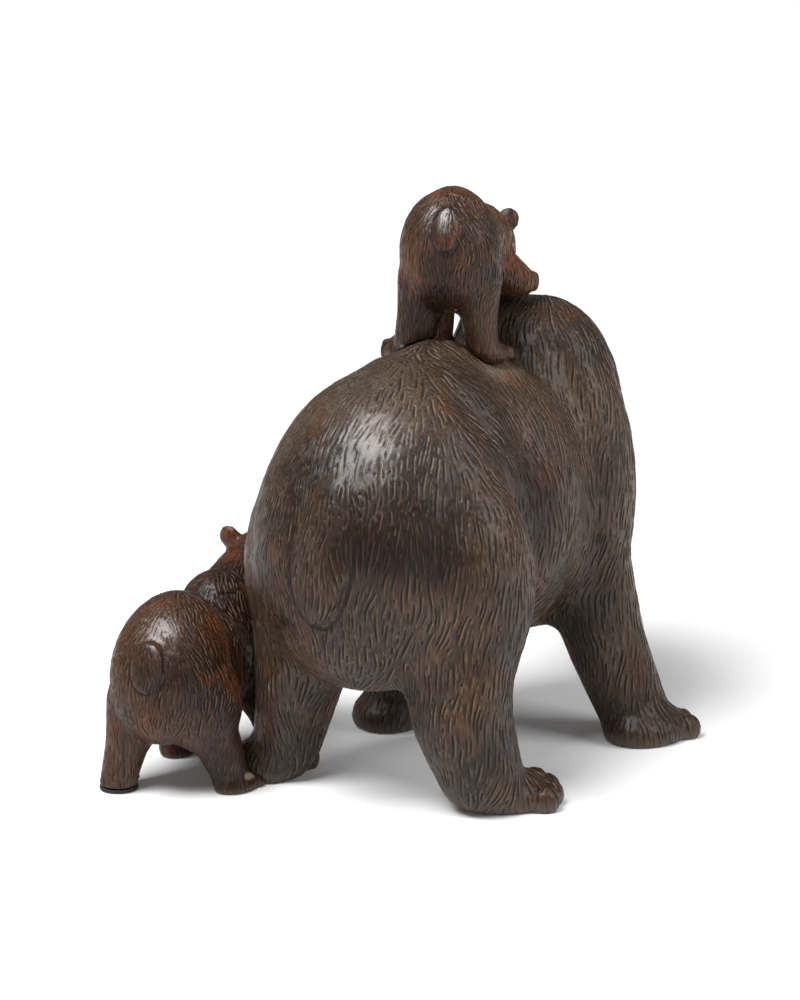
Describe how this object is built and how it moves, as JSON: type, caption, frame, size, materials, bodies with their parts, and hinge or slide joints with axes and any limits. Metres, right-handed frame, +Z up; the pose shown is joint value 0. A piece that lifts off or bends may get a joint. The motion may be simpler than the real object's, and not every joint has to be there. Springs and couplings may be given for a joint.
{
  "type": "carved wooden bear family figurine",
  "caption": "Carved wooden mother bear on all fours with a cub climbing on her back and another walking close at her side; stands on its own flat soles",
  "frame": {"origin": "centre of the bounding box, on the ground under the soles", "axes": "+Z up; the mother faces -Y and her left side is +X, where one cub walks; her head is turned toward it"},
  "size_m": [0.2196, 0.3272, 0.2891],
  "materials": {
    "mother_wood": "dark brown stain over gouged fur strokes, waxed",
    "cub_wood": "reddish brown stain over gouged fur strokes, glossy wax",
    "pad_rubber": "black, matt"
  },
  "bodies": {
    "root": {"mother_bear": "mother_wood", "climbing_cub": "cub_wood", "walking_cub": "cub_wood", "foot_pad": "pad_rubber"}
  },
  "joints": []
}
